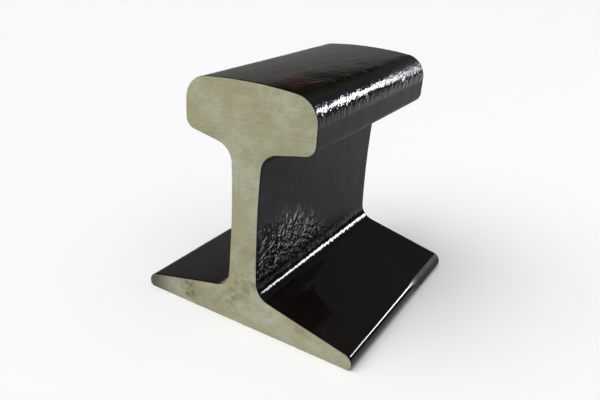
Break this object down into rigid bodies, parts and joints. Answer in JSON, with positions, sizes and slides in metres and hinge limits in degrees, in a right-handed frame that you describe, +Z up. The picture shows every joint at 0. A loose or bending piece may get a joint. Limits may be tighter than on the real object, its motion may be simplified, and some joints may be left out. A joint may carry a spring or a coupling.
{
  "type": "steel rail",
  "caption": "Short length of flat-bottomed rail: arched head with rounded shoulders, slim web, wide sloping foot, sawn square at both ends.",
  "frame": {"origin": "middle of the underside of the foot, half way along the length", "axes": "+Z up from the foot to the head, +Y along the rail, +X across the section"},
  "size_m": [0.108, 0.106, 0.108],
  "materials": {
    "rail": "glossy black coating on the rolled surfaces, dull bare steel on the sawn ends"
  },
  "bodies": {
    "root": {"rail": "rail"}
  },
  "joints": []
}
